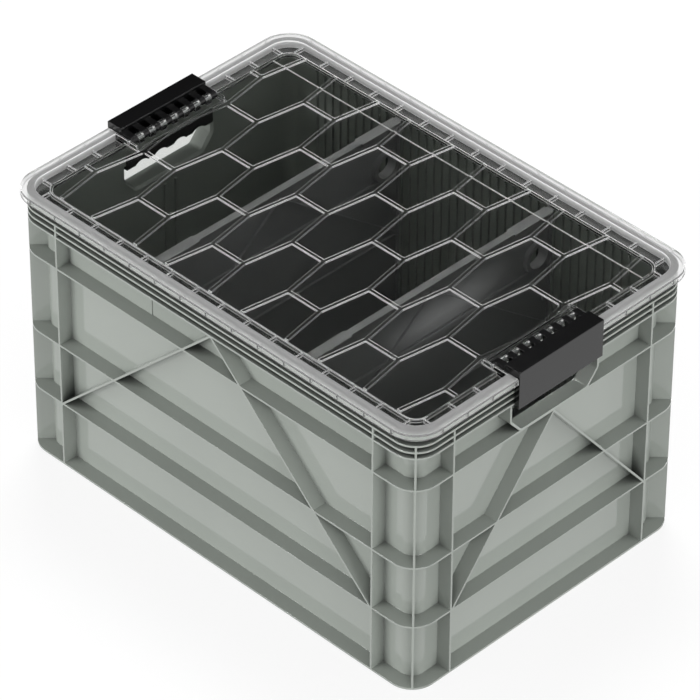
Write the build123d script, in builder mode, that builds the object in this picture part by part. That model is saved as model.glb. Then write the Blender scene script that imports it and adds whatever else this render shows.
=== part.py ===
from build123d import *

import os
from math import hypot

# A stacking storage crate with a clear ribbed lid, two hinged latches, hand grips and two dividers.
# The crate stands on the floor at z = 0 with the origin under its middle. X runs along its length,
# Y across it and Z up. All sizes are millimetres.

# Crate body, measured over the edges of its outside ribs
body_length = 600.0
body_width = 411.4
body_corner = 30.0
rim_height = 348.4
rib_depth = 18.0
rib_thickness = 2.4
wall = 3.0
wall_corner = 14.0

# Rim: a raised lip round a ledge, with fins stacked below it
rim_lip = 3.0
ledge_drop = 8.3
fin_pitch = 8.2
fin_count = 4

# Outside ribs below the fins
lower_belt_heights = (167.6, 86.9)
long_upright_inset = 61.6
end_upright_inset = 56.3

# Floor and the ribs under it
foot_height = 4.0
floor_thickness = 3.5
foot_rib_pitch_x = 140.0
foot_rib_pitch_y = 123.0
foot_rib_thickness = 2.0

# Handle openings in the end walls
handle_width = 134.0
handle_drop = 41.1
handle_lip = 2.6
handle_corner_run = 16.0
handle_corner_rise = 19.0
handle_fillet = 9.0
handle_edge = 3.0

# Bare plate at the top left of the near wall
plate_inset = 66.0
plate_length = 127.0
plate_rise = 0.8

# Ribs inside the long walls that hold the dividers, and the slot in each end wall
guide_pitch = 12.0
guide_end_gap = 44.0
guide_width = 2.0
guide_depth = 3.0
guide_drop = 2.0
slot_gap = 13.0
slot_rib_width = 3.0
slot_rib_depth = 2.5
slot_rib_drop = 12.0

# Lid
clearance = 0.3
lid_overhang = 7.0
lid_thickness = 2.8
brim_corner = 36.0
brim_chamfer = 1.0
brim_gap = 0.5
skirt_thickness = 2.5
skirt_drop = 7.4
channel_inset = 7.0
channel_corner = 27.0
channel_wall = 2.3
channel_floor = 2.0
panel_inset = 21.3
panel_corner = 17.0
panel_drop = 5.1
panel_thickness = 2.4
gusset_thickness = 1.6
long_gusset_count = 15
gusset_end_gap = 30.0
end_gusset_pitch = 36.5
honeycomb_pitch_x = 57.0
honeycomb_pitch_y = 124.0
honeycomb_edge = 47.0
honeycomb_rib = 4.6
honeycomb_height = 1.5
seam_inset = 48.7
seam_width = 1.0
seam_height = 0.6

# Latches
latch_width = 126.0
latch_stand_off = 8.0
latch_rise = 8.0
latch_depth = 22.0
latch_wall = 3.0
latch_foot_drop = 0.9
latch_spine_height = 12.0
latch_rounding = 1.0
latch_web = 2.5
latch_web_count = 4
bead_height = 4.0
hinge_inset = 28.0
hinge_drop = 1.5
knuckle_radius = 4.6
finger_count = 8
pin_radius = 1.75
pin_running_gap = 0.05
pin_press_gap = 0.01
pin_grip_sides = 6
pocket_inner = 41.0
pocket_floor = 2.1
pocket_wall = 2.5
knuckle_chamfer = 2.6

# Hand grips
grip_depth = 16.5
grip_height = 6.0
grip_flange = 2.5
grip_flange_rise = 10.0
scallop_pitch = 28.5
scallop_count = 4
scallop_radius = 13.0
scallop_depth = 5.0
grip_chamfer = 1.2

# Dividers
divider_slots = (-9, 10)
divider_thickness = 2.5
divider_top_drop = 2.0
divider_rail_thickness = 9.2
divider_rail_width = 4.0
divider_rib_depth = 3.0
divider_rib_width = 3.0
flange_thickness = 2.5
flange_narrow = 9.0
flange_wide = 13.0
flange_wide_run = 59.1
ring_inset = 23.1
ring_drop = 50.9
ring_radius = 20.5
ring_hole_radius = 14.0
ring_depth = 12.0
ring_draft = 1.5
upper_rib_drop = 67.9
lower_rib_drop = 153.9
brace_apex_drop = 9.9
stud_inset = 9.1
stud_drop = 113.9
stud_width = 6.0
stud_depth = 3.0

# Heights and half sizes that follow from the sizes above
half_length = body_length / 2
half_width = body_width / 2
inner_inset = rib_depth + wall
inner_half_length = half_length - inner_inset
inner_half_width = half_width - inner_inset
wall_half_length = half_length - rib_depth
wall_half_width = half_width - rib_depth
ledge_height = rim_height - ledge_drop
fin_tops = [ledge_height - i * fin_pitch for i in range(fin_count)]
upright_top = fin_tops[1]
fin_underside = fin_tops[-1] - rib_thickness
handle_underside = fin_underside - handle_drop
top_belt_height = handle_underside
floor_top = foot_height + floor_thickness
guide_top = ledge_height - guide_drop
guide_count = 2 * int((inner_half_length - guide_end_gap) / guide_pitch + 0.5)
slot_rib_top = handle_underside - slot_rib_drop
long_upright = half_length - long_upright_inset
end_upright = half_width - end_upright_inset

lid_seat = ledge_height + clearance
brim_underside = rim_height + brim_gap
brim_top = brim_underside + lid_thickness
skirt_bottom = brim_top - skirt_drop
panel_top = brim_top - panel_drop
panel_bottom = panel_top - panel_thickness

latch_half = latch_width / 2
latch_face = half_length + latch_stand_off
latch_top = brim_top + latch_rise
latch_back = latch_face - latch_depth
latch_foot = fin_underside - latch_foot_drop
latch_inside = latch_face - latch_wall
hinge_x = half_length - hinge_inset
hinge_z = brim_top - hinge_drop
finger_pitch = 2 * latch_width / (2 * finger_count - 1)
finger_width = finger_pitch / 2 - clearance
pocket_x = half_length - pocket_inner
pocket_floor_top = hinge_z - knuckle_radius - 2 * clearance
pocket_half = latch_half + 2 * clearance
pin_length = 2 * (pocket_half + pocket_wall)

divider_top = ledge_height - divider_top_drop
divider_half = inner_half_width - 2 * clearance
ring_offset = divider_half - ring_inset
stud_offset = divider_half - stud_inset

# Planes in the middle of each wall's thickness, which braces and handles grow out of
wall_mid_y = wall_half_width - wall / 2
wall_mid_x = wall_half_length - wall / 2
front = Plane.XZ.offset(wall_mid_y)
back = Plane(origin=(0, wall_mid_y, 0), x_dir=(-1, 0, 0), z_dir=(0, 1, 0))
right = Plane.YZ.offset(wall_mid_x)
left = Plane(origin=(-wall_mid_x, 0, 0), x_dir=(0, -1, 0), z_dir=(-1, 0, 0))


def slab(low, high, inset, corner, mode=Mode.ADD):
    """Fill the body outline, drawn in by inset, between two heights."""
    with BuildSketch(Plane.XY.offset(low)) as plan:
        RectangleRounded(body_length - 2 * inset, body_width - 2 * inset, corner)
    extrude(to_extrude=plan.sketch, amount=high - low, mode=mode)


def band(low, high, outer_inset, outer_corner, inner_inset, inner_corner):
    """Add a closed band between two outlines and two heights."""
    with BuildSketch(Plane.XY.offset(low)) as plan:
        RectangleRounded(body_length - 2 * outer_inset, body_width - 2 * outer_inset, outer_corner)
        RectangleRounded(
            body_length - 2 * inner_inset,
            body_width - 2 * inner_inset,
            inner_corner,
            mode=Mode.SUBTRACT,
        )
    extrude(to_extrude=plan.sketch, amount=high - low)


def brace_points(reach, low, apex, thickness):
    """Corners of an inverted V of even thickness, whose legs start at (reach, low)."""
    drop = thickness * hypot(reach, apex - low) / reach
    return [
        (-reach, low),
        (0, apex),
        (reach, low),
        (reach, low - drop),
        (0, apex - drop),
        (-reach, low - drop),
    ]


def handle_points(top):
    """Corners of the outside of a handle lip, from its top down one side and up the other."""
    side = handle_width / 2
    return [
        (-side, top),
        (-side, handle_underside + handle_corner_rise),
        (-side + handle_corner_run, handle_underside),
        (side - handle_corner_run, handle_underside),
        (side, handle_underside + handle_corner_rise),
        (side, top),
    ]


# Crate shell
upright_reach = 2 * body_corner
corner_x = half_length - body_corner
corner_y = half_width - body_corner
with BuildSketch() as uprights:
    with Locations((-long_upright, 0), (long_upright, 0)):
        Rectangle(rib_thickness, body_width + 2 * upright_reach)
    with Locations((0, -end_upright), (0, end_upright)):
        Rectangle(body_length + 2 * upright_reach, rib_thickness)
    with Locations((-corner_x, -corner_y), (corner_x, corner_y)):
        Rectangle(2 * upright_reach, rib_thickness, rotation=45)
    with Locations((-corner_x, corner_y), (corner_x, -corner_y)):
        Rectangle(2 * upright_reach, rib_thickness, rotation=-45)

outside_ribs = [(0, rib_thickness)]
for height in reversed((top_belt_height, *lower_belt_heights)):
    outside_ribs.append((height - rib_thickness / 2, height + rib_thickness / 2))
for top in reversed(fin_tops):
    outside_ribs.append((top - rib_thickness, top))

with BuildPart() as crate_shell:
    slab(0, rim_height, 0, body_corner)
    slab(ledge_height, rim_height, rim_lip, body_corner - rim_lip, mode=Mode.SUBTRACT)

    # Cells between the belts and fins, parted by uprights up to the second fin
    for (_, low), (high, _) in zip(outside_ribs, outside_ribs[1:]):
        with BuildSketch(Plane.XY.offset(low)):
            Rectangle(body_length + upright_reach, body_width + upright_reach)
            RectangleRounded(
                2 * wall_half_length,
                2 * wall_half_width,
                wall_corner + wall,
                mode=Mode.SUBTRACT,
            )
            if high < upright_top:
                add(uprights.sketch, mode=Mode.SUBTRACT)
        extrude(amount=high - low, mode=Mode.SUBTRACT)

    # The hollow, cut round the guide ribs of the long walls and the slot ribs of the end walls
    for low, high, end_ribs, guides in (
        (floor_top, slot_rib_top, True, True),
        (slot_rib_top, guide_top, False, True),
        (guide_top, rim_height, False, False),
    ):
        with BuildSketch(Plane.XY.offset(low)):
            RectangleRounded(2 * inner_half_length, 2 * inner_half_width, wall_corner)
            if guides:
                with GridLocations(guide_pitch, 2 * inner_half_width, guide_count, 2):
                    Rectangle(guide_width, 2 * guide_depth, mode=Mode.SUBTRACT)
            if end_ribs:
                with GridLocations(2 * inner_half_length, slot_gap + slot_rib_width, 2, 2):
                    Rectangle(2 * slot_rib_depth, slot_rib_width, mode=Mode.SUBTRACT)
        extrude(amount=high - low, mode=Mode.SUBTRACT)

    # The space under the floor, with its grid of ribs
    foot_columns = 2 * int(inner_half_length / foot_rib_pitch_x) + 1
    foot_rows = 2 * int(inner_half_width / foot_rib_pitch_y) + 1
    with BuildSketch():
        RectangleRounded(2 * inner_half_length, 2 * inner_half_width, wall_corner)
        with GridLocations(foot_rib_pitch_x, 0, foot_columns, 1):
            Rectangle(foot_rib_thickness, body_width, mode=Mode.SUBTRACT)
        with GridLocations(0, foot_rib_pitch_y, 1, foot_rows):
            Rectangle(body_length, foot_rib_thickness, mode=Mode.SUBTRACT)
    extrude(amount=foot_height, mode=Mode.SUBTRACT)

    # Inverted V braces: from the lowest fin on the long walls, from the handle on the end walls
    lowest_belt = lower_belt_heights[-1]
    with BuildSketch(front, back):
        Polygon(
            *brace_points(long_upright, lowest_belt, fin_underside + rib_thickness, rib_thickness),
            align=None,
        )
    extrude(amount=rib_depth + wall / 2)
    with BuildSketch(right, left):
        Polygon(
            *brace_points(end_upright, lowest_belt, handle_underside, rib_thickness),
            align=None,
        )
    extrude(amount=rib_depth + wall / 2)

    # The bare plate, from the top belt up to the fins
    plate_height = fin_underside - top_belt_height
    with BuildSketch(front):
        with Locations((plate_inset + plate_length / 2 - half_length, top_belt_height + plate_height / 2)):
            Rectangle(plate_length, plate_height)
    extrude(amount=wall / 2 + plate_rise)

    # Handle lips, and the openings through them and through the walls
    with BuildSketch(right, left):
        Polygon(*handle_points(fin_underside + rib_thickness / 2), align=None)
        fillet(vertices().sort_by(Axis.Y)[:4], radius=handle_fillet)
    extrude(amount=rib_depth + wall / 2)
    with BuildSketch(right, left):
        Polygon(*handle_points(fin_underside + handle_lip), align=None)
        fillet(vertices().sort_by(Axis.Y)[:4], radius=handle_fillet)
        offset(amount=-handle_lip, kind=Kind.INTERSECTION, mode=Mode.REPLACE)
    extrude(amount=2 * rib_depth, both=True, mode=Mode.SUBTRACT)

    # The edge of each opening is eased inside, apart from its top, where the grip sits
    with BuildSketch(right.offset(-wall / 2), left.offset(-wall / 2)):
        Polygon(*handle_points(fin_underside + handle_lip - handle_edge), align=None)
        fillet(vertices().sort_by(Axis.Y)[:4], radius=handle_fillet)
        offset(amount=handle_edge - handle_lip, kind=Kind.INTERSECTION, mode=Mode.REPLACE)
    extrude(amount=handle_edge, taper=45, mode=Mode.SUBTRACT)

crate_shell.part.label = "crate_shell"


# Lid
with BuildSketch() as honeycomb_cell:
    Polygon(
        (-honeycomb_pitch_x + honeycomb_edge / 2, 0),
        (-honeycomb_edge / 2, honeycomb_pitch_y / 2),
        (honeycomb_edge / 2, honeycomb_pitch_y / 2),
        (honeycomb_pitch_x - honeycomb_edge / 2, 0),
        (honeycomb_edge / 2, -honeycomb_pitch_y / 2),
        (-honeycomb_edge / 2, -honeycomb_pitch_y / 2),
        align=None,
    )
    offset(amount=-honeycomb_rib / 2, kind=Kind.INTERSECTION, mode=Mode.REPLACE)

honeycomb_columns = int(half_length / honeycomb_pitch_x) + 1
honeycomb_rows = int(half_width / honeycomb_pitch_y) + 1
honeycomb_centres = [
    (column * honeycomb_pitch_x, (row + 0.5 * (column % 2)) * honeycomb_pitch_y)
    for column in range(-honeycomb_columns, honeycomb_columns + 1)
    for row in range(-honeycomb_rows, honeycomb_rows + 1)
]

with BuildPart() as lid:
    # Brim and skirt
    slab(skirt_bottom, brim_top, -lid_overhang, brim_corner)
    chamfer(faces().sort_by(Axis.Z)[-1].edges(), length=brim_chamfer)
    slab(
        skirt_bottom,
        brim_underside,
        skirt_thickness - lid_overhang,
        brim_corner - skirt_thickness,
        mode=Mode.SUBTRACT,
    )
    slab(brim_underside, brim_top, channel_inset, channel_corner, mode=Mode.SUBTRACT)

    # Channel round the panel, and the panel
    channel_outside = channel_inset - channel_wall
    channel_outside_corner = channel_corner + channel_wall
    panel_rim_inset = panel_inset + channel_wall
    panel_rim_corner = panel_corner - channel_wall
    band(
        lid_seat,
        brim_top - lid_thickness / 2,
        channel_outside,
        channel_outside_corner,
        channel_inset,
        channel_corner,
    )
    band(
        lid_seat,
        lid_seat + channel_floor,
        channel_outside,
        channel_outside_corner,
        panel_rim_inset,
        panel_rim_corner,
    )
    band(lid_seat, panel_top, panel_inset, panel_corner, panel_rim_inset, panel_rim_corner)
    slab(panel_bottom, panel_top, panel_rim_inset, panel_rim_corner)

    # Gussets across the channel and under the brim
    long_gusset_pitch = 2 * (half_length - gusset_end_gap) / (long_gusset_count - 1)
    end_gusset_count = int((half_width - channel_corner - pocket_half) / end_gusset_pitch)
    channel_span = panel_inset - channel_inset
    channel_mid = (panel_inset + channel_inset) / 2
    end_gusset_places = [
        side * (pocket_half + (i + 1) * end_gusset_pitch)
        for i in range(end_gusset_count)
        for side in (-1, 1)
    ]
    with BuildSketch(Plane.XY.offset(lid_seat)):
        with GridLocations(long_gusset_pitch, body_width - 2 * channel_mid, long_gusset_count, 2):
            Rectangle(gusset_thickness, channel_span)
        for end in (-1, 1):
            with Locations(*[(end * (half_length - channel_mid), y) for y in end_gusset_places]):
                Rectangle(channel_span, gusset_thickness)
    extrude(amount=panel_top - lid_seat)
    skirt_gap = lid_overhang - skirt_thickness - clearance
    skirt_mid = clearance + skirt_gap / 2
    with BuildSketch(Plane.XY.offset(skirt_bottom)):
        with GridLocations(long_gusset_pitch, body_width + 2 * skirt_mid, long_gusset_count, 2):
            Rectangle(gusset_thickness, skirt_gap)
        for end in (-1, 1):
            with Locations(*[(end * (half_length + skirt_mid), y) for y in end_gusset_places]):
                Rectangle(skirt_gap, gusset_thickness)
    extrude(amount=brim_underside - skirt_bottom)

    # Honeycomb ribs on the panel, and one fine moulding line under it
    with BuildSketch(Plane.XY.offset(panel_top)):
        RectangleRounded(
            body_length - 2 * panel_rim_inset, body_width - 2 * panel_rim_inset, panel_rim_corner
        )
        with Locations(*honeycomb_centres):
            add(honeycomb_cell.sketch, mode=Mode.SUBTRACT)
    extrude(amount=honeycomb_height)
    with BuildSketch(Plane.XY.offset(panel_bottom - seam_height)):
        with Locations((0, half_width - seam_inset)):
            Rectangle(body_length - 2 * panel_rim_inset, seam_width)
    extrude(amount=seam_height)

    # Latch pockets: cut through the rim, closed by end walls, a floor and an inner wall
    pocket_cut = half_length + 2 * lid_overhang - pocket_x
    pocket_floor_length = half_length - channel_outside - pocket_x
    for end in (-1, 1):
        with BuildSketch(Plane.XY.offset(lid_seat)):
            with Locations((end * (pocket_x + pocket_cut / 2), 0)):
                Rectangle(pocket_cut, 2 * pocket_half)
        extrude(amount=brim_top - lid_seat, mode=Mode.SUBTRACT)
        with BuildSketch(Plane.XY.offset(pocket_floor_top - pocket_floor)):
            with Locations((end * (pocket_x + (pocket_floor_length - pocket_wall) / 2), 0)):
                Rectangle(pocket_floor_length + pocket_wall, 2 * (pocket_half + pocket_wall))
        extrude(amount=pocket_floor)
        with BuildSketch(Plane.XY.offset(pocket_floor_top - pocket_floor)):
            with Locations((end * (pocket_x - pocket_wall / 2), 0)):
                Rectangle(pocket_wall, 2 * (pocket_half + pocket_wall))
        extrude(amount=panel_top + honeycomb_height - pocket_floor_top + pocket_floor)
        with BuildSketch(Plane.XY.offset(pocket_floor_top - pocket_floor)):
            wall_y = pocket_half + pocket_wall / 2
            with Locations(*[(end * (pocket_x + pocket_floor_length / 2), s * wall_y) for s in (-1, 1)]):
                Rectangle(pocket_floor_length, pocket_wall)
        extrude(amount=brim_top - pocket_floor_top + pocket_floor)

        # Knuckles between the latch's fingers, with a six-sided bore that grips the pin
        knuckle_planes = [
            Plane.XZ.offset((i - (finger_count - 2) / 2) * finger_pitch) for i in range(finger_count - 1)
        ]
        knuckle_height = hinge_z + knuckle_radius - pocket_floor_top
        with BuildSketch(*knuckle_planes):
            with Locations((end * hinge_x, pocket_floor_top + knuckle_height / 2)):
                Rectangle(2 * knuckle_radius, knuckle_height)
            chamfer(vertices().group_by(Axis.Y)[-1], length=knuckle_chamfer)
        extrude(amount=finger_width / 2, both=True)
        with BuildSketch(Plane.XZ):
            with Locations((end * hinge_x, hinge_z)):
                RegularPolygon(pin_radius + pin_press_gap, pin_grip_sides, major_radius=False)
        extrude(amount=pin_length / 2, both=True, mode=Mode.SUBTRACT)

lid.part.label = "lid"


# Latches
with BuildPart() as latch_right:
    # Face, top and spine, bent from one wall
    with BuildSketch(Plane.XZ):
        Polygon(
            (latch_face, latch_foot),
            (latch_face, latch_top),
            (latch_back, latch_top),
            (latch_back, latch_top - latch_spine_height),
            (latch_back + latch_wall, latch_top - latch_spine_height),
            (latch_back + latch_wall, latch_top - latch_wall),
            (latch_inside, latch_top - latch_wall),
            (latch_inside, latch_foot),
            align=None,
        )
        fillet(vertices().group_by(Axis.Y)[-1], radius=latch_rounding)
    extrude(amount=latch_half, both=True)

    # Webs that stiffen the corner, the outer two closing the ends
    web_pitch = (latch_width - latch_web) / (latch_web_count - 1)
    web_planes = [
        Plane.XZ.offset((i - (latch_web_count - 1) / 2) * web_pitch) for i in range(latch_web_count)
    ]
    web_inner = half_length + 5 * clearance
    web_low = rim_height + 3 * clearance
    with BuildSketch(*web_planes):
        Polygon(
            (latch_back + latch_wall, latch_top - latch_wall),
            (latch_inside, latch_top - latch_wall),
            (latch_inside, latch_foot + latch_wall),
            (web_inner, latch_foot + latch_wall),
            (web_inner, web_low),
            (latch_back + latch_wall, web_low),
            align=None,
        )
    extrude(amount=latch_web / 2, both=True)

    # Bead along the inside of the face, level with the slot between the two lowest fins
    bead_inner = half_length + clearance
    bead_z = (fin_tops[-1] + fin_tops[-2] - rib_thickness) / 2
    with BuildSketch(Plane.XZ):
        with Locations(((bead_inner + latch_inside) / 2, bead_z)):
            Rectangle(latch_inside - bead_inner, bead_height)
    extrude(amount=latch_half - latch_web, both=True)

    # Fingers round the pin
    finger_planes = [
        Plane.XZ.offset((i - (finger_count - 1) / 2) * finger_pitch) for i in range(finger_count)
    ]
    finger_reach = latch_back + latch_wall / 2 - hinge_x
    with BuildSketch(*finger_planes):
        with Locations((hinge_x, hinge_z)):
            Circle(knuckle_radius)
        with Locations((hinge_x + finger_reach / 2, hinge_z)):
            Rectangle(finger_reach, 2 * knuckle_radius)
    extrude(amount=finger_width / 2, both=True)
    with BuildSketch(Plane.XZ):
        with Locations((hinge_x, hinge_z)):
            Circle(pin_radius + pin_running_gap)
    extrude(amount=latch_half, both=True, mode=Mode.SUBTRACT)

latch_right.part.label = "latch_right"

with BuildPart() as latch_left:
    mirror(latch_right.part, about=Plane.YZ)

latch_left.part.label = "latch_left"


# Latch pins
with BuildPart() as latch_pin_right:
    with BuildSketch(Plane.XZ):
        with Locations((hinge_x, hinge_z)):
            Circle(pin_radius)
    extrude(amount=pin_length / 2, both=True)

latch_pin_right.part.label = "latch_pin_right"

with BuildPart() as latch_pin_left:
    mirror(latch_pin_right.part, about=Plane.YZ)

latch_pin_left.part.label = "latch_pin_left"


# Hand grips, let into the top of each handle opening
grip_inner = inner_half_length - grip_flange
grip_bottom = fin_underside - grip_height
grip_half = handle_width / 2 - handle_lip - clearance

with BuildPart() as grip_right:
    with BuildSketch(Plane.XZ):
        Polygon(
            (grip_inner, grip_bottom),
            (grip_inner + grip_depth, grip_bottom),
            (grip_inner + grip_depth, fin_underside),
            (inner_half_length, fin_underside),
            (inner_half_length, fin_underside + grip_flange_rise),
            (grip_inner, fin_underside + grip_flange_rise),
            align=None,
        )
        chamfer(vertices().group_by(Axis.Y)[0], length=grip_chamfer)
    extrude(amount=grip_half, both=True)
    with BuildSketch(Plane.YZ.offset(grip_inner)):
        with Locations((0, grip_bottom + scallop_depth - scallop_radius)):
            with GridLocations(scallop_pitch, 0, scallop_count, 1):
                Circle(scallop_radius)
    extrude(amount=grip_depth, mode=Mode.SUBTRACT)

grip_right.part.label = "grip_right"

with BuildPart() as grip_left:
    mirror(grip_right.part, about=Plane.YZ)

grip_left.part.label = "grip_left"


# Dividers, which slide down between the guide ribs
def make_divider(slot):
    """Build a divider that stands in the given slot, counted from the crate's middle."""
    centre = slot * guide_pitch
    middle = Plane.YZ.offset(centre)
    bottom = floor_top + clearance
    height = divider_top - bottom
    rib_half = divider_thickness / 2 + divider_rib_depth
    flange_end = inner_half_width - guide_depth - 2 * clearance
    with BuildPart() as divider:
        with BuildSketch(middle):
            with Locations((0, bottom + height / 2)):
                Rectangle(2 * divider_half, height)
        extrude(amount=divider_thickness / 2, both=True)

        # Side rails and the stepped flange along the top
        with BuildSketch(Plane.XY.offset(bottom)):
            with Locations((centre, 0)):
                with GridLocations(0, 2 * divider_half - divider_rail_width, 1, 2):
                    Rectangle(divider_rail_thickness, divider_rail_width)
        extrude(amount=height)
        with BuildSketch(Plane.XY.offset(divider_top - flange_thickness)):
            with Locations((centre, 0)):
                Rectangle(flange_narrow, 2 * divider_half)
                with GridLocations(0, 2 * flange_end - flange_wide_run, 1, 2):
                    Rectangle(flange_wide, flange_wide_run)
        extrude(amount=flange_thickness)
        with BuildSketch(Plane.XY.offset(bottom)):
            with Locations((centre, 0)):
                Rectangle(flange_narrow, 2 * divider_half)
        extrude(amount=flange_thickness)

        # Straight ribs and an inverted V on both faces
        with BuildSketch(middle):
            with Locations((0, divider_top - upper_rib_drop)):
                Rectangle(2 * ring_offset, divider_rib_width)
            with Locations((0, divider_top - lower_rib_drop)):
                Rectangle(2 * divider_half, divider_rib_width)
            Polygon(
                *brace_points(
                    divider_half,
                    divider_top - lower_rib_drop,
                    divider_top - brace_apex_drop,
                    divider_rib_width,
                ),
                align=None,
            )
        extrude(amount=rib_half, both=True)

        # Rings round two cable holes near the top corners, and a stud below each
        ring_z = divider_top - ring_drop
        ring_wall = ring_radius - ring_hole_radius
        with BuildSketch(middle):
            with Locations((-ring_offset, ring_z), (ring_offset, ring_z)):
                Circle(ring_radius - ring_wall / 2)
        extrude(amount=ring_depth, both=True, mode=Mode.SUBTRACT)
        for ring_y in (-ring_offset, ring_offset):
            ring_centre = (centre, ring_y, ring_z)
            with BuildSketch(Plane(origin=ring_centre, x_dir=(1, 0, 0), z_dir=(0, -1, 0))):
                Polygon(
                    (-ring_depth / 2, ring_hole_radius),
                    (-ring_depth / 2, ring_radius - ring_draft),
                    (0, ring_radius),
                    (ring_depth / 2, ring_radius - ring_draft),
                    (ring_depth / 2, ring_hole_radius),
                    align=None,
                )
            revolve(axis=Axis(ring_centre, (1, 0, 0)))
        with BuildSketch(middle):
            stud_z = divider_top - stud_drop
            with Locations((-stud_offset, stud_z), (stud_offset, stud_z)):
                Rectangle(stud_width, stud_width)
        extrude(amount=divider_thickness / 2 + stud_depth, both=True)
    return divider.part


divider_left = make_divider(divider_slots[0])
divider_left.label = "divider_left"
divider_right = make_divider(divider_slots[1])
divider_right.label = "divider_right"


os.makedirs("parts", exist_ok=True)
pieces = [
    crate_shell.part,
    lid.part,
    latch_right.part,
    latch_left.part,
    latch_pin_right.part,
    latch_pin_left.part,
    grip_right.part,
    grip_left.part,
    divider_left,
    divider_right,
]
for piece in pieces:
    export_step(piece, f"parts/{piece.label}.step")
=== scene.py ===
# %% [markdown]
# A stacking storage crate, dressed for its portrait. The crate is one grey-green moulding full of ribs,
# closed by a clear ribbed lid that two black latches hold down. Its shape and its moving parts come from a
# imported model, so this lesson is about what is left: light, plastic that looks moulded, and a lid that looks
# clear.

import bmesh
import bpy
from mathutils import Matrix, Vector


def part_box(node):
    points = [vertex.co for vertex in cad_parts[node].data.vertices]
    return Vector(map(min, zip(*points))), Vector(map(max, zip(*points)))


millimetres_in_a_metre = 1000

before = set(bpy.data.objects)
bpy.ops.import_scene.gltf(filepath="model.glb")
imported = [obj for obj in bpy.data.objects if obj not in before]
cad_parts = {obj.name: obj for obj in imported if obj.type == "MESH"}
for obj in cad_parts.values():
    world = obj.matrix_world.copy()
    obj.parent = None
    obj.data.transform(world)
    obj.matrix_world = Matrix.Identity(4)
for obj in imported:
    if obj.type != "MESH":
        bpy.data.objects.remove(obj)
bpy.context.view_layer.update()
scene = bpy.context.scene
scene.view_settings.view_transform = "Standard"
for name in sorted(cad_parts):
    low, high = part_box(name)
    size = (high - low) * millimetres_in_a_metre
    print(f"{name}: {size.x:.1f} x {size.y:.1f} x {size.z:.1f} mm")

# %% [markdown]
# The camera stands far off with a long lens, so that the crate's edges stay almost parallel. It could be
# placed by eye, but its place here comes from a fit to the crate's corners and ribs, so that each of them
# falls where it should. It looks down on the near corner from about 39 degrees.

# %% Set the camera
camera_place = (3.0452, -3.0681, 3.6279)
camera_turn = (0.8976, -0.004, 0.7846)
sensor_width = 36.0
focal_pixels = 5120.6
picture_pixels = 700.0
farthest_seen = 50.0

camera_data = bpy.data.cameras.new("portrait_camera")
camera_data.sensor_width = sensor_width
camera_data.lens = focal_pixels / picture_pixels * sensor_width
camera_data.clip_end = farthest_seen
camera = bpy.data.objects.new("portrait_camera", camera_data)
camera.location = camera_place
camera.rotation_euler = camera_turn
scene.collection.objects.link(camera)
scene.camera = camera
print(f"lens {camera_data.lens:.1f} mm")

# %% [markdown]
# A shader is a small graph of nodes. It could be drawn by hand in the shader editor, but a script builds the
# same one each time. These helpers keep the graphs short to write. They add a node with its settings, join
# sockets, reckon with sockets and plain numbers, and start a material with its Principled shader.


# %% Add nodes and join them
def add_node(tree, kind, **settings):
    """Add a node and set its properties, or its inputs where the name is an input's."""
    node = tree.nodes.new(kind)
    for key, value in settings.items():
        if hasattr(node, key):
            setattr(node, key, value)
        else:
            node.inputs[key.replace("_", " ")].default_value = value
    return node


def join(tree, source, target):
    """Join an output socket to an input socket, or give the input a plain value."""
    if isinstance(source, bpy.types.NodeSocket):
        tree.links.new(source, target)
    else:
        target.default_value = source


def new_material(name, colour, roughness):
    """A material with one Principled shader, returned with its tree and that shader."""
    material = bpy.data.materials.new(name)
    material.use_nodes = True
    tree = material.node_tree
    shader = tree.nodes["Principled BSDF"]
    shader.inputs["Base Color"].default_value = (*colour, 1.0)
    shader.inputs["Roughness"].default_value = roughness
    return material, tree, shader


# %% Reckon with numbers and vectors
def number_math(tree, operation, *terms):
    """One operation on numbers, each of them plain or a socket."""
    node = add_node(tree, "ShaderNodeMath", operation=operation)
    for term, socket in zip(terms, node.inputs):
        join(tree, term, socket)
    return node.outputs["Value"]


def vector_math(tree, operation, *terms, gives="Vector"):
    """One operation on vectors, which gives a Vector, or a Value where that is asked for."""
    node = add_node(tree, "ShaderNodeVectorMath", operation=operation)
    for term, socket in zip(terms, node.inputs):
        join(tree, term, socket)
    return node.outputs[gives]


def vector_part(tree, vector, axis):
    """The X, Y or Z of a vector."""
    parts = add_node(tree, "ShaderNodeSeparateXYZ")
    join(tree, vector, parts.inputs["Vector"])
    return parts.outputs[axis]


def level_part(tree, vector):
    """A vector without its height."""
    return vector_math(tree, "MULTIPLY", vector, (1.0, 1.0, 0.0))


# %% Carry a value from one range to another
def map_range(tree, value, from_range, to_range, **settings):
    """A value carried from one range to another, and held there at its ends."""
    node = add_node(tree, "ShaderNodeMapRange", **settings)
    join(tree, value, node.inputs["Value"])
    for end, number in zip(("From Min", "From Max", "To Min", "To Max"), (*from_range, *to_range)):
        join(tree, number, node.inputs[end])
    return node.outputs["Result"]


def blend(tree, share, start, end):
    """Start where the share is 0, end where it is 1, and a mix of the two between."""
    return map_range(tree, share, (0.0, 1.0), (start, end))


# %% Mix colours and shaders
def mix_colours(tree, share, first, second):
    """The first colour where the share is 0, and the second where it is 1."""
    mix = add_node(tree, "ShaderNodeMix", data_type="RGBA")
    join(tree, share, mix.inputs["Factor"])
    mix.inputs["A"].default_value = (*first, 1.0)
    mix.inputs["B"].default_value = (*second, 1.0)
    return mix.outputs["Result"]


def mix_shaders(tree, share, first, second):
    """The first shader where the share is 0, and the second where it is 1."""
    mix = add_node(tree, "ShaderNodeMixShader")
    for source, socket in zip((share, first, second), mix.inputs):
        join(tree, source, socket)
    return mix.outputs["Shader"]


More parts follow.
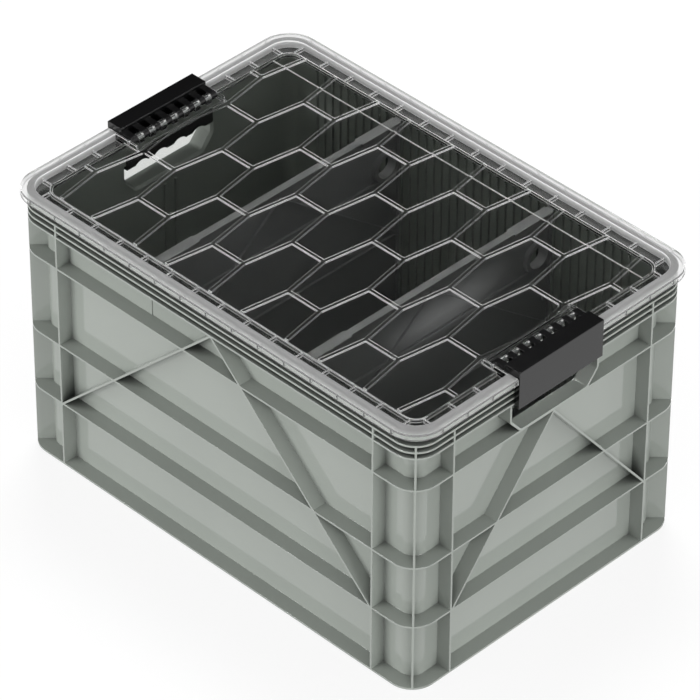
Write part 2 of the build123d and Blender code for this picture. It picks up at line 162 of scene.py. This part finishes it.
# %% Spread noise over a piece
def own_place(tree):
    """Where a point is in its piece's own coordinates, which move with the piece."""
    return add_node(tree, "ShaderNodeTexCoord").outputs["Object"]


def noise(tree, place, scale, detail, roughness=0.5):
    """Soft noise over a piece."""
    node = add_node(tree, "ShaderNodeTexNoise", Detail=detail, Roughness=roughness)
    join(tree, place, node.inputs["Vector"])
    join(tree, scale, node.inputs["Scale"])
    return node.outputs["Fac"]


# %% [markdown]
# Moulded plastic is never one flat colour. The tool's surface leaves a fine grain, the colour drifts a
# little where the plastic flowed, and smudges change its gloss. The deep corners between ribs get a painted
# shade, a darkening of the colour where ambient occlusion finds surfaces close by. A picture wrapped round
# each piece could show the drift and grain, but noise over the piece's own coordinates reaches every face
# without a seam. All of the crate's solid plastics share it, so it is a node group with its own inputs, built
# once and used with other values in each material.


# %% Let the colour drift
drift_noise = {"scale": 9.0, "detail": 3.0, "roughness": 0.55}
drift_range = (0.3, 0.7)


def scaled_colour(tree, colour, amount):
    """A colour made lighter or darker."""
    scale = add_node(tree, "ShaderNodeVectorMath", operation="SCALE")
    join(tree, colour, scale.inputs["Vector"])
    join(tree, amount, scale.inputs["Scale"])
    return scale.outputs["Vector"]


def drifted_colour(tree, place, colour, drift):
    """The colour, a little lighter and darker in broad soft patches."""
    patches = noise(tree, place, **drift_noise)
    swing = map_range(tree, patches, drift_range, (-1.0, 1.0))
    return scaled_colour(tree, colour, number_math(tree, "MULTIPLY_ADD", swing, drift, 1.0))


# %% Paint shade into the crevices
# Painted shade: the colour is darkened wherever ambient occlusion finds surfaces close by.
crevice_samples = 8
crevice_reach = 0.025
crevice_range = (0.05, 0.5)


def painted_crevice_shade(tree, colour, shade):
    """The colour with painted shade, darker in crevices where nearby surfaces hide the light."""
    nearby = add_node(
        tree, "ShaderNodeAmbientOcclusion", samples=crevice_samples, Distance=crevice_reach
    )
    amount = map_range(tree, nearby.outputs["AO"], crevice_range, (shade, 1.0))
    return scaled_colour(tree, colour, amount)


# %% Smudge the gloss
smudge_noise = {"scale": 28.0, "detail": 4.0, "roughness": 0.6}
smudge_swing = 0.06


def smudged_roughness(tree, place, roughness):
    """The roughness, a little more and less in small patches."""
    smudges = noise(tree, place, **smudge_noise)
    raised = number_math(tree, "MULTIPLY_ADD", smudges, smudge_swing, roughness)
    return number_math(tree, "SUBTRACT", raised, smudge_swing / 2)


# %% Round the edges and raise the grain
edge_samples = 4
grain_detail = 1.0
grain_height = 0.0001


def grained_normal(tree, place, grain_scale, grain_depth, edge_radius):
    """The fine grain of the tool, over edges that are rounded by a hair."""
    edge = add_node(tree, "ShaderNodeBevel", samples=edge_samples)
    join(tree, edge_radius, edge.inputs["Radius"])
    bump = add_node(tree, "ShaderNodeBump", Distance=grain_height)
    join(tree, grain_depth, bump.inputs["Strength"])
    join(tree, noise(tree, place, grain_scale, grain_detail), bump.inputs["Height"])
    join(tree, edge.outputs["Normal"], bump.inputs["Normal"])
    return bump.outputs["Normal"]


# %% Build the moulded plastic group
def moulded_plastic_group():
    """Colour with painted shade in crevices, roughness and normal for moulded plastic, from its base values.
    """
    group = bpy.data.node_groups.new("moulded_plastic", "ShaderNodeTree")
    sockets = group.interface
    sockets.new_socket("Colour", in_out="INPUT", socket_type="NodeSocketColor")
    for name in ("Drift", "Roughness", "Grain Scale", "Grain Depth", "Edge Radius", "Crevice Shade"):
        sockets.new_socket(name, in_out="INPUT", socket_type="NodeSocketFloat")
    sockets.new_socket("Colour", in_out="OUTPUT", socket_type="NodeSocketColor")
    sockets.new_socket("Roughness", in_out="OUTPUT", socket_type="NodeSocketFloat")
    sockets.new_socket("Normal", in_out="OUTPUT", socket_type="NodeSocketVector")

    entry = group.nodes.new("NodeGroupInput")
    leave = group.nodes.new("NodeGroupOutput")
    given = entry.outputs
    place = own_place(group)
    drifted = drifted_colour(group, place, given["Colour"], given["Drift"])
    # Painted shade darkens the colour in crevices.
    colour = painted_crevice_shade(group, drifted, given["Crevice Shade"])
    roughness = smudged_roughness(group, place, given["Roughness"])
    normal = grained_normal(
        group, place, given["Grain Scale"], given["Grain Depth"], given["Edge Radius"]
    )
    join(group, colour, leave.inputs["Colour"])
    join(group, roughness, leave.inputs["Roughness"])
    join(group, normal, leave.inputs["Normal"])
    return group


plastic_group = moulded_plastic_group()
print(f"{plastic_group.name}: {len(plastic_group.nodes)} nodes")


# %% Make a moulded plastic material
def moulded_plastic(
    name, colour, roughness, drift, grain_scale, grain_depth, edge_radius, crevice_shade
):
    """A solid plastic whose surface comes from the shared group."""
    material, tree, shader = new_material(name, colour, roughness)
    plastic = add_node(
        tree,
        "ShaderNodeGroup",
        node_tree=plastic_group,
        Colour=(*colour, 1.0),
        Drift=drift,
        Roughness=roughness,
        Grain_Scale=grain_scale,
        Grain_Depth=grain_depth,
        Edge_Radius=edge_radius,
        Crevice_Shade=crevice_shade,
    )
    join(tree, plastic.outputs["Colour"], shader.inputs["Base Color"])
    join(tree, plastic.outputs["Roughness"], shader.inputs["Roughness"])
    join(tree, plastic.outputs["Normal"], shader.inputs["Normal"])
    print(f"{name}: colour {colour}, roughness {roughness}")
    return material


# %% [markdown]
# The crate is glossy, with hardly any grain, and has a strong painted shade in the corners between its ribs.
# The latches are a deep glossy black. The grips are duller, so that a hand doesn't slip, and the dividers are
# a plain dull grey. The latches and grips get a milder painted shade, and the dividers none. One material with
# a colour for each piece would be shorter, but their gloss and grain differ too.

# %% Make the four moulded plastics
crate_plastic = moulded_plastic(
    "crate_plastic",
    colour=(0.293, 0.316, 0.29),
    roughness=0.06,
    drift=0.02,
    grain_scale=2600.0,
    grain_depth=0.02,
    edge_radius=0.0006,
    # A strong painted shade in the crate's crevices.
    crevice_shade=0.12,
)
latch_plastic = moulded_plastic(
    "latch_plastic",
    colour=(0.003, 0.003, 0.0032),
    roughness=0.16,
    drift=0.05,
    grain_scale=3000.0,
    grain_depth=0.06,
    edge_radius=0.0006,
    crevice_shade=0.5,
)
grip_plastic = moulded_plastic(
    "grip_plastic",
    colour=(0.010, 0.010, 0.011),
    roughness=0.45,
    drift=0.05,
    grain_scale=3000.0,
    grain_depth=0.08,
    edge_radius=0.0006,
    crevice_shade=0.5,
)
divider_plastic = moulded_plastic(
    "divider_plastic",
    colour=(0.24, 0.24, 0.246),
    roughness=0.36,
    drift=0.04,
    grain_scale=2600.0,
    grain_depth=0.06,
    edge_radius=0.0005,
    crevice_shade=1.0,
)

# %% [markdown]
# The lid is a clear moulding, and glass in a shader bends light as it does. Not all of the real lid is
# clear. Its brim has a fine frosting, which makes it pale even over the dark crate. Its edges catch light
# from everywhere, and here each rib's pair of bright lines is a painted highlight, while the gussets under the
# brim get a painted shade. Each could be a slot with a material of its own, but the edges are no faces of the
# mesh. So they are masks, and where these are strong a plain diffuse shader takes the place of glass. The
# first masks say which part of the lid a point is on: the rim round the panel, the brim, the gussets or the
# hinges. Two outlines, a hair inside and outside the channel's outer wall, tell that wall from the rest of the
# brim.


# %% Find the places on the lid
def outside_outline(tree, place, half_size, corner):
    """1 outside an upright rounded box round the origin, 0 inside it."""
    folded = vector_math(tree, "ABSOLUTE", level_part(tree, place))
    corner_centre = (half_size[0] - corner, half_size[1] - corner, 0.0)
    past = vector_math(tree, "SUBTRACT", folded, corner_centre)
    corner_part = vector_math(tree, "MAXIMUM", past, (0.0, 0.0, 0.0))
    reach = vector_math(tree, "LENGTH", corner_part, gives="Value")
    return number_math(tree, "GREATER_THAN", reach, corner)


def between_heights(tree, place, low, high):
    """1 between two heights, 0 elsewhere."""
    height = vector_part(tree, place, "Z")
    return number_math(tree, "COMPARE", height, (low + high) / 2, (high - low) / 2)


def near_hinges(tree, place, from_x, to_y):
    """1 near the two hinges, 0 elsewhere."""
    folded = vector_math(tree, "ABSOLUTE", place)
    far_out = number_math(tree, "GREATER_THAN", vector_part(tree, folded, "X"), from_x)
    middle = number_math(tree, "LESS_THAN", vector_part(tree, folded, "Y"), to_y)
    return number_math(tree, "MULTIPLY", far_out, middle)


# %% Divide the lid into zones
panel_inside = 0.0213
panel_corner = 0.017
channel_inside = 0.007
channel_corner = 0.027
wall_line = 0.0003
gusset_heights = (0.3449, 0.3488)
hinge_zone = (0.248, 0.066)


def lid_zones(tree):
    """Masks of the lid's zones. The channel's outer wall is in the brim, but not past the wall."""
    place = own_place(tree)
    shell_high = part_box("crate_shell")[1]

    def beyond(inside, corner):
        """1 beyond the outline that lies this far inside the crate's walls."""
        half_size = (shell_high.x - inside, shell_high.y - inside)
        return outside_outline(tree, place, half_size, corner)

    past_wall = beyond(channel_inside - wall_line, channel_corner)
    gusset_band = between_heights(tree, place, *gusset_heights)
    return {
        "rim": beyond(panel_inside, panel_corner),
        "brim": beyond(channel_inside + wall_line, channel_corner),
        "past wall": past_wall,
        "gussets": number_math(tree, "MULTIPLY", gusset_band, past_wall),
        "hinges": near_hinges(tree, place, *hinge_zone),
    }


# %% [markdown]
# The painted highlights could be thin strips of mesh along every rib. A rounded normal finds the edges with no
# mesh at all, because it leaves the true normal only near an edge. The ribs that run nearly straight across
# catch much fainter light on the real lid, so their painted highlight is weaker, by a mask from that same
# normal, and each zone has its own strength too.


# %% Find the edges for painted highlights and the ribs that run one way
lid_edge_radius = 0.0011
lid_edge_samples = 8
edge_agreement = (0.99, 0.95)
rib_leeway = 0.16


def painted_edges(tree):
    """1 on the lid's edges, where a rounded normal leaves the true one, and that rounded normal."""
    edge = add_node(tree, "ShaderNodeBevel", samples=lid_edge_samples, Radius=lid_edge_radius)
    rounded = edge.outputs["Normal"]
    surface = add_node(tree, "ShaderNodeNewGeometry")
    agree = vector_math(tree, "DOT_PRODUCT", rounded, surface.outputs["Normal"], gives="Value")
    either_side = number_math(tree, "ABSOLUTE", agree)
    return map_range(tree, either_side, edge_agreement, (0.0, 1.0)), rounded


def ribs_along(tree, normal, run):
    """1 on ribs that run along a level direction, 0 on the others."""
    sideways = vector_math(tree, "NORMALIZE", level_part(tree, normal))
    along = vector_math(tree, "DOT_PRODUCT", sideways, run, gives="Value")
    return number_math(tree, "COMPARE", along, 0.0, rib_leeway)


# %% Give each edge's painted highlight or shade its strength
# Shares of near-white diffuse that paint highlights on the rib edges in place of glass.
rib_highlight_share = 0.95
steep_rib_run = (-0.16, 0.987, 0.0)
steep_rib_highlight_share = 0.25
# Per zone, the share of painted highlight on edges, and on the gussets the share of painted shade.
zone_highlight_and_shade_shares = {"rim": 0.8, "brim": 0.12, "gussets": 0.9, "hinges": 0.1}


def edge_share(tree, zones):
    """How much an edge's painted highlight, or painted shade on gussets, hides the glass. Where zones overlap,
    the later one counts.
    """
    edges, rounded = painted_edges(tree)
    steep = ribs_along(tree, rounded, steep_rib_run)
    strength = blend(tree, steep, rib_highlight_share, steep_rib_highlight_share)
    for zone, white in zone_highlight_and_shade_shares.items():
        strength = blend(tree, zones[zone], strength, white)
    return number_math(tree, "MULTIPLY", edges, strength)


# %% [markdown]
# The frosting lies on the outer faces of the brim. It is strongest on the channel's outer wall, weaker on
# top and faint on the skirt. It could be a rough glass, but that turns dark over the dark crate, where the
# real brim stays pale. So it is a share of plain grey.


# %% Frost the brim
frost_top = 0.36
frost_side = 0.06
frost_channel = 0.5


def frost_share(tree, zones):
    """How much the frosting hides the glass, by the way that a face looks."""
    surface = add_node(tree, "ShaderNodeNewGeometry")
    upward = vector_part(tree, surface.outputs["Normal"], "Z")
    side = blend(tree, zones["past wall"], frost_channel, frost_side)
    outer = blend(tree, upward, side, frost_top)
    outer_only = blend(tree, surface.outputs["Backfacing"], outer, 0.0)
    return number_math(tree, "MULTIPLY", zones["brim"], outer_only)


# %% Choose the grey of the painted edges and the frost
# Greys in place of glass: painted highlight on ribs with frost on the channel wall, frost past it, painted
# shade on gussets.
highlight_and_wall_frost_grey = 0.93
frost_grey = 0.6
gusset_painted_shade_grey = 0.05


def paleness(tree, zones):
    """The grey that takes the place of glass, a nearly white painted highlight on the ribs and a nearly black
    painted shade on gussets.
    """
    pale = blend(tree, zones["past wall"], highlight_and_wall_frost_grey, frost_grey)
    return blend(tree, zones["gussets"], pale, gusset_painted_shade_grey)


# %% [markdown]
# A glass shader stops the straight light of lamps, and light that the glass bends is slow to work out and
# full of specks. So shadow rays meet a plain transparent shader instead, which lets about as much light down
# into the crate as the real lid does. All other rays meet the glass and its grey.

# %% Make the clear plastic
lid_tint = (0.73, 0.745, 0.725)
rim_tint = (1.0, 1.0, 1.0)
lid_roughness = 0.02
lid_refraction = 1.46
panel_passes = (0.25, 0.25, 0.25)
brim_passes = (0.7, 0.7, 0.7)


def clear_plastic():
    """Clear plastic with a frosted brim, painted highlights on its edges and painted shade on its gussets,
    which lets lamps partly through.
    """
    material, tree, glass = new_material("clear_plastic", lid_tint, lid_roughness)
    glass.inputs["Transmission Weight"].default_value = 1.0
    glass.inputs["IOR"].default_value = lid_refraction
    zones = lid_zones(tree)
    join(tree, mix_colours(tree, zones["rim"], lid_tint, rim_tint), glass.inputs["Base Color"])

    white = add_node(tree, "ShaderNodeBsdfDiffuse")
    join(tree, paleness(tree, zones), white.inputs["Color"])
    # Edges get a painted highlight, gussets a painted shade, and the brim its frost, where this share is
    # strong.
    frost_and_painted_light_share = number_math(tree, "MAXIMUM", frost_share(tree, zones), edge_share(tree, zones))
    body = mix_shaders(tree, frost_and_painted_light_share, glass.outputs["BSDF"], white.outputs["BSDF"])

    through = add_node(tree, "ShaderNodeBsdfTransparent")
    passed = mix_colours(tree, zones["brim"], panel_passes, brim_passes)
    join(tree, passed, through.inputs["Color"])
    ray = add_node(tree, "ShaderNodeLightPath")
    surface = mix_shaders(tree, ray.outputs["Is Shadow Ray"], body, through.outputs["BSDF"])
    join(tree, surface, tree.nodes["Material Output"].inputs["Surface"])
    return material


lid_plastic = clear_plastic()
print(f"{lid_plastic.name}: {len(lid_plastic.node_tree.nodes)} nodes")

# %% [markdown]
# The hinge pins are plain drawn rod. Drawing leaves fine lines along the rod. Cut into the mesh they would
# take thousands of faces, so they are a noise stretched along the rod, which changes its gloss.

# %% Make the pin steel
rod_grey = (0.42, 0.42, 0.43)
rod_roughness = 0.3
rod_stretch = (1.0, 0.02, 1.0)
rod_noise = {"scale": 4000.0, "detail": 2.0}
rod_gloss = (0.25, 0.42)


def pin_steel():
    """Drawn steel rod, with fine lines along Y."""
    material, tree, shader = new_material("pin_steel", rod_grey, rod_roughness)
    shader.inputs["Metallic"].default_value = 1.0
    stretch = add_node(tree, "ShaderNodeMapping", Scale=rod_stretch)
    join(tree, own_place(tree), stretch.inputs["Vector"])
    lines = noise(tree, stretch.outputs["Vector"], **rod_noise)
    join(tree, blend(tree, lines, *rod_gloss), shader.inputs["Roughness"])
    return material


rod_steel = pin_steel()
print(f"{rod_steel.name}: roughness {rod_gloss[0]} to {rod_gloss[1]}")

# %% [markdown]
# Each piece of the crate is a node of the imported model, with its mesh in place. Copies of them could be
# dressed instead, but a copy can drift from its piece, so the nodes themselves get the materials and their
# meshes stay as they are.

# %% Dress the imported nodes
node_materials = {
    "crate_shell": crate_plastic,
    "lid": lid_plastic,
    "latch_left": latch_plastic,
    "latch_right": latch_plastic,
    "latch_pin_left": rod_steel,
    "latch_pin_right": rod_steel,
    "grip_left": grip_plastic,
    "grip_right": grip_plastic,
    "divider_left": divider_plastic,
    "divider_right": divider_plastic,
}
for name, material in node_materials.items():
    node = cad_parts[name]
    node.data.materials.clear()
    node.data.materials.append(material)
print(f"{len(node_materials)} nodes dressed")

# %% [markdown]
# The floor looks white to the camera, also by gloss and through the lid. Stronger lamps could make it so, but
# they would wash out the crate. Instead, rays that the eye follows meet a white floor, and light that has
# already bounced off something dull meets its real, lower level, so that the white doesn't light the crate.

# %% Tell the eye's rays from the light's
half_a_bounce = 0.5


def not_bounced(tree, ray):
    """1 for rays that haven't met anything dull yet, 0 for the others."""
    return number_math(tree, "LESS_THAN", ray.outputs["Diffuse Depth"], half_a_bounce)


def seen_rays(tree):
    """1 for rays that the eye follows, straight, by gloss or through clear plastic, 0 for other light."""
    ray = add_node(tree, "ShaderNodeLightPath")
    seen = ray.outputs["Is Camera Ray"]
    for kind in ("Is Glossy Ray", "Is Transmission Ray"):
        seen = number_math(tree, "MAXIMUM", seen, ray.outputs[kind])
    return number_math(tree, "MULTIPLY", seen, not_bounced(tree, ray))


# %% Paint the floor
floor_grey = 0.12
floor_pale = 0.85
floor_glow = 0.86
floor_roughness = 0.9


def floor_paint():
    """Grey to the light and nearly white to the eye, with enough shade left for a faint shadow."""
    material, tree, shader = new_material("studio_floor", (floor_grey,) * 3, floor_roughness)
    shader.inputs["Specular IOR Level"].default_value = 0.0
    seen = seen_rays(tree)
    join(tree, blend(tree, seen, floor_grey, floor_pale), shader.inputs["Base Color"])
    glow_share = number_math(tree, "MULTIPLY", seen, floor_glow)
    glow = add_node(tree, "ShaderNodeEmission", Strength=1.0)
    surface = mix_shaders(tree, glow_share, shader.outputs["BSDF"], glow.outputs["Emission"])
    join(tree, surface, tree.nodes["Material Output"].inputs["Surface"])
    return material


# %% Lay the floor
floor_reach = 6.0


def studio_floor():
    """A wide level floor, far larger than the crate's shadow."""
    mesh = bmesh.new()
    bmesh.ops.create_grid(mesh, x_segments=1, y_segments=1, size=floor_reach)
    data = bpy.data.meshes.new("studio_floor")
    mesh.to_mesh(data)
    mesh.free()
    data.materials.append(floor_paint())
    floor = bpy.data.objects.new("studio_floor", data)
    scene.collection.objects.link(floor)
    return floor


floor = studio_floor()
print(f"{floor.name}: {floor.dimensions.x:.0f} m wide")

# %% [markdown]
# The lamps are broad, so that shadows stay soft. A single sun could light the crate too, but it would leave
# whole walls dark from some sides. Four lamps stand low round the crate. They light its upright walls and
# leave the tops of the belts to the sky. The fifth hangs high behind it, for the faces that look up.


# %% Hang the lamps
def soft_lamp(name, place, target, size, power):
    """Hang a rectangular lamp, given by its width and height, that faces its target."""
    data = bpy.data.lights.new(name, "AREA")
    data.shape = "RECTANGLE"
    data.size, data.size_y = size
    data.energy = power
    lamp = bpy.data.objects.new(name, data)
    lamp.location = place
    direction = Vector(target) - Vector(place)
    lamp.rotation_euler = direction.to_track_quat("-Z", "Y").to_euler()
    scene.collection.objects.link(lamp)


crate_middle = (0.0, 0.0, 0.18)
for name, place, size, power in (
    ("front_lamp", (-0.9, -3.3, 0.3), (1.8, 0.5), 68.0),
    ("side_lamp", (3.4, -0.4, 0.35), (1.4, 0.5), 50.0),
    ("high_lamp", (-1.1, 1.1, 3.75), (1.2, 1.2), 115.0),
    ("back_lamp", (0.9, 3.3, 0.3), (1.8, 0.5), 50.0),
    ("left_lamp", (-3.4, 0.4, 0.35), (1.4, 0.5), 24.0),
):
    soft_lamp(name, place, crate_middle, size, power)
    print(f"{name}: {power:.0f} W")

# %% [markdown]
# The sky fills the shadows with even light. One part of it, above and behind the crate, is dark, because the
# flat lid mirrors that part and a bright one would veil the inside. A black card could hang there, but it
# would throw a shadow of its own. To the camera the sky is pale all over, and near the horizon also through
# the lid.

# %% Shade the sky
sky_pale = 1.05
sky_dark = 0.02
dark_direction = (-0.55, 0.55, 0.62)
dark_range = (0.3, 0.7)
horizon_height = 0.1


def sky_level(tree, direction):
    """The sky's level for light and gloss, pale with one dark part above and behind the crate."""
    towards_dark = vector_math(tree, "DOT_PRODUCT", direction, dark_direction, gives="Value")
    levels = (sky_pale, sky_dark)
    return map_range(tree, towards_dark, dark_range, levels, interpolation_type="SMOOTHSTEP")


def sky_seen(tree, direction):
    """1 for rays from the camera, and for those through clear plastic near the horizon."""
    ray = add_node(tree, "ShaderNodeLightPath")
    low = number_math(tree, "LESS_THAN", vector_part(tree, direction, "Z"), horizon_height)
    low_first = number_math(tree, "MULTIPLY", low, not_bounced(tree, ray))
    through = number_math(tree, "MULTIPLY", ray.outputs["Is Transmission Ray"], low_first)
    return number_math(tree, "MAXIMUM", ray.outputs["Is Camera Ray"], through)


# %% Make the sky
sky_colour = (1.0, 1.0, 1.0, 1.0)


def studio_sky():
    """A sky with one level for light and gloss, and a plain pale one for the eye."""
    world = bpy.data.worlds.new("studio_sky")
    scene.world = world
    world.use_nodes = True
    tree = world.node_tree
    direction = add_node(tree, "ShaderNodeTexCoord").outputs["Generated"]
    light = tree.nodes["Background"]
    light.inputs["Color"].default_value = sky_colour
    join(tree, sky_level(tree, direction), light.inputs["Strength"])
    plain = add_node(tree, "ShaderNodeBackground", Strength=1.0)
    seen = sky_seen(tree, direction)
    surface = mix_shaders(tree, seen, light.outputs["Background"], plain.outputs["Background"])
    join(tree, surface, tree.nodes["World Output"].inputs["Surface"])
    return world


sky = studio_sky()
print(f"{sky.name}: {sky_pale} in front, {sky_dark} behind")
